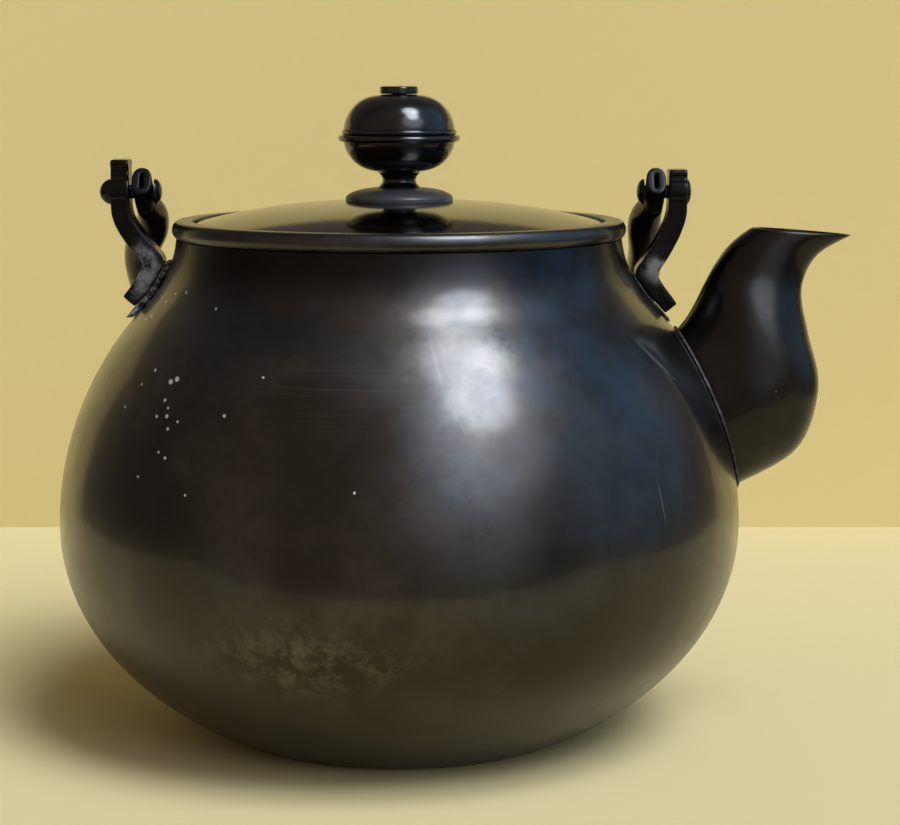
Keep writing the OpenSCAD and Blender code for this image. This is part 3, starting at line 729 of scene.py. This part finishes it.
# %% Black iron
IRON, WORN_IRON = (0.0014, 0.0013, 0.0014), (0.0034, 0.0032, 0.0033)
CUSHION_GREY = (0.040, 0.040, 0.042)
SMEARED_TIN = (0.20, 0.20, 0.205)


def black_iron(name, rough, shine=1.0, gloss=0.1):
    """Black iron: shine scales its coat, and gloss is the mirror of the iron under it."""
    skin = Finish(name, Coat_Roughness=0.06, Specular_IOR_Level=gloss)
    grain = skin.noise(0.9, 3, 0.6)
    clouds = skin.noise(7, 4, 0.6)
    skin.colour = skin.mix(skin.band(clouds, 0.4, 0.65), IRON, WORN_IRON)
    skin.rough = rough + 0.10 * clouds + 0.05 * grain
    skin.coat = shine * (0.05 + 0.22 * clouds)
    skin.height = 0.3 * clouds + 0.12 * grain
    return skin


knob_iron = lay(black_iron("iron_knob", rough=0.12, shine=3.0, gloss=0.28), 0.12, 0.12)
for piece in (stem, bowl, band, dome, button):
    knob_iron.paint(piece)
soft_iron = black_iron("iron_cushion", rough=0.34, shine=0.6, gloss=0.3)
soft_iron.colour = soft_iron.mix(0.75, soft_iron.colour, CUSHION_GREY)
lay(soft_iron, 0.3, 0.2).paint(knob_seat)
bail_iron = lay(black_iron("iron_bail", rough=0.14, shine=1.5), 0.35, 0.2)
eye_iron = lay(black_iron("iron_eye", rough=0.34, shine=0.5), 0.35, 0.2)
bail_iron.paint(bail)
for side in ("left", "right"):
    bail_iron.paint(bpy.data.objects["rivet_" + side])
    eye_iron.paint(bpy.data.objects["bail_knuckle_" + side])


def tinned_ear(side, centre, size, turn):
    """Black iron that fades into smeared solder about the bend and the foot."""
    skin = black_iron("iron_ear_" + side, rough=0.15)
    smear = skin.spot(centre, size, turn) * skin.band(skin.noise(3.0, 5, 0.7), 0.32, 0.66)
    skin.colour = skin.mix(skin.band(smear, 0.0, 0.7) * 0.7, skin.colour, SMEARED_TIN)
    skin.rough = skin.rough + 0.22 * smear
    skin.height = skin.height + 0.5 * smear
    lay(skin, 0.5, 0.3).paint(bpy.data.objects["ear_strap_" + side])


tinned_ear("left", centre=(-61, -2, 112), size=(8, 12, 11), turn=0.3)
tinned_ear("right", centre=(62, -2, 112), size=(5, 12, 5), turn=0.3)

# %% Solder
HOLLOW, BRIGHT_TIN, DULL_TIN = (0.02, 0.019, 0.018), (0.34, 0.345, 0.34), (0.065, 0.064, 0.062)


def solder(name, lump, *pieces):
    """Paints pieces with solder; lump is the colour of its lumps."""
    tin = Finish(name, Metallic=0.75)
    dross = tin.noise(1.6, 5, 0.7)
    tin.colour = tin.mix(tin.band(dross, 0.44, 0.66), HOLLOW, lump)
    tin.rough = 0.42 + 0.3 * dross
    tin.coat = 0.0
    tin.height = dross
    lay(tin, 0.6, 0.3)
    for piece in pieces:
        tin.paint(piece)


solder("tin_bright", BRIGHT_TIN, bpy.data.objects["ear_tin_left"])
solder("tin_dull", DULL_TIN, seam, bpy.data.objects["ear_tin_right"])

# %% [markdown]
# ## Stage, light and camera
#
# The pot stands on plain pale paper, with a low sheet of it upright behind. The paper
# matters to the metal: its warm colour fills the lower half of the belly and the edges. The
# upright sheet is see-through from behind, so that a camera may go round the pot. Beyond
# the sheets the floor runs on for the camera but stays out of reflections, so the belly
# shows where the paper ends.
#
# The room's light is a dim ground with soft round glows laid over it one after another. The
# two small bright ones high in front on the right make the highlight on the shoulder and
# the shadow to the left, the wide cool one on the right tints the shoulder there, and the
# warm one on the left stands for a wall. Two weak lamps firm up the shadow and the front.

# %% Paper floor and back
FLOOR_PAPER, WALL_PAPER = (0.60, 0.50, 0.26), (0.64, 0.515, 0.23)
PAPER_ROUGH, PAPER_GLOSS = 0.9, 0.1
LEFT, RIGHT, FRONT, WALL_Y, FAR = -450, 420, -225, 244, 6000
WALL_LEFT, WALL_RIGHT, WALL_TOP = -400, 390, 235


def paper_sheet(name, corners, colour, one_sided=False):
    """A plain sheet between four corners in mm; a one-sided sheet can't be seen from behind."""
    bpy.ops.object.select_all(action="DESELECT")
    bpy.ops.mesh.primitive_plane_add(size=1)
    sheet = bpy.context.object
    sheet.name = name
    for vertex, corner in zip(sheet.data.vertices, corners):
        vertex.co = Vector(corner) * MM
    paper = bpy.data.materials.new(name)
    paper.use_nodes = True
    nodes, links = paper.node_tree.nodes, paper.node_tree.links
    shader = nodes["Principled BSDF"]
    shader.inputs["Base Color"].default_value = (*colour, 1)
    shader.inputs["Roughness"].default_value = PAPER_ROUGH
    shader.inputs["Specular IOR Level"].default_value = PAPER_GLOSS
    if one_sided:
        clear, mixed = nodes.new("ShaderNodeBsdfTransparent"), nodes.new("ShaderNodeMixShader")
        facing = nodes.new("ShaderNodeNewGeometry")
        links.new(facing.outputs["Backfacing"], mixed.inputs[0])
        links.new(shader.outputs[0], mixed.inputs[1])
        links.new(clear.outputs[0], mixed.inputs[2])
        links.new(mixed.outputs[0], nodes["Material Output"].inputs["Surface"])
    sheet.data.materials.append(paper)
    return sheet


def floor_sheet(name, x0, x1, y0, y1):
    return paper_sheet(name, [(x, y, 0) for y in (y0, y1) for x in (x0, x1)], FLOOR_PAPER)


floor_sheet("paper_floor", LEFT, RIGHT, FRONT, WALL_Y)
for name, *reach in (("paper_far_left", -FAR, LEFT, -FAR, FAR),
                     ("paper_far_right", RIGHT, FAR, -FAR, FAR),
                     ("paper_far_front", LEFT, RIGHT, -FAR, FRONT),
                     ("paper_far_back", LEFT, RIGHT, WALL_Y, FAR)):
    floor_sheet(name, *reach).visible_glossy = False
paper_sheet("paper_back", [(x, WALL_Y, z) for z in (0, WALL_TOP) for x in (WALL_LEFT, WALL_RIGHT)],
            WALL_PAPER, one_sided=True)

# %% World
GROUND = (0.15, 0.125, 0.10)
# Each glow: its direction, its reach in degrees from there, and its colour
GLOWS = (((0, 0, 1), 85, (0.13, 0.12, 0.11)),
         ((-0.45, -0.80, 0.35), 64, (0.34, 0.265, 0.20)),
         ((1.0, -0.1, 0.50), 46, (0.32, 0.50, 0.72)),
         ((0.40, -0.80, 0.22), 32, (0.75, 0.78, 0.82)),
         ((0.46, -0.66, 0.56), 27, (2.6, 2.9, 3.3)),
         ((0.413, -0.492, 0.766), 14, (15.5, 17.0, 19.2)),
         ((0.321, -0.299, 0.899), 17, (13.5, 14.8, 16.6)))

world = bpy.data.worlds.new("room")
bpy.context.scene.world = world
world.use_nodes = True
air, wires = world.node_tree.nodes, world.node_tree.links
way = air.new("ShaderNodeTexCoord")


def glow(direction, reach, colour, under):
    """Lays a soft round glow about a direction over the colour under it."""
    near, ramp, mixed = (air.new("ShaderNodeVectorMath"), air.new("ShaderNodeMapRange"),
                         air.new("ShaderNodeMix"))
    near.operation, ramp.interpolation_type, mixed.data_type = "DOT_PRODUCT", "SMOOTHERSTEP", "RGBA"
    wires.new(way.outputs["Generated"], near.inputs[0])
    near.inputs[1].default_value = Vector(direction).normalized()
    wires.new(near.outputs["Value"], ramp.inputs["Value"])
    ramp.inputs["From Min"].default_value = math.cos(math.radians(reach))
    wires.new(ramp.outputs["Result"], mixed.inputs[0])
    wires.new(under, mixed.inputs[6])
    mixed.inputs[7].default_value = (*colour, 1)
    return mixed.outputs[2]


ground = air.new("ShaderNodeRGB")
ground.outputs[0].default_value = (*GROUND, 1)
air_colour = ground.outputs[0]
for direction, reach, colour in GLOWS:
    air_colour = glow(direction, reach, colour, air_colour)
wires.new(air_colour, air["Background"].inputs["Color"])

# %% Lamps
AIM = Vector((0, 0, 0.08))


def lamp(name, bearing, height, distance, size, power, colour):
    """A round lamp: bearing from the camera's side towards +X, and height, in degrees."""
    data = bpy.data.lights.new(name, "AREA")
    data.shape = "DISK"
    data.size = size
    data.energy = power
    data.color = colour
    light = bpy.data.objects.new(name, data)
    bpy.context.scene.collection.objects.link(light)
    a, h = math.radians(bearing), math.radians(height)
    outward = Vector((math.sin(a) * math.cos(h), -math.cos(a) * math.cos(h), math.sin(h)))
    light.location = AIM + distance * outward
    light.rotation_euler = (AIM - light.location).to_track_quat("-Z", "Y").to_euler()
    return light


lamp("ceiling", bearing=52, height=60, distance=1.15, size=0.22, power=0.65,
     colour=(0.94, 0.97, 1.0))
soft = lamp("soft", bearing=22, height=34, distance=1.4, size=0.8, power=0.4,
            colour=(0.97, 0.98, 1.0))
soft.visible_glossy = False

# %% Camera
LENS, SENSOR, TILT = 92, 36, 8.35
view = bpy.data.cameras.new("camera")
view.lens, view.sensor_width = LENS, SENSOR
camera = bpy.data.objects.new("camera", view)
bpy.context.scene.collection.objects.link(camera)
camera.location = (0.0122, -0.5553, 0.1583)
camera.rotation_euler = (math.radians(90 - TILT), 0, 0)
bpy.context.scene.camera = camera
bpy.context.scene.view_settings.view_transform = "Standard"
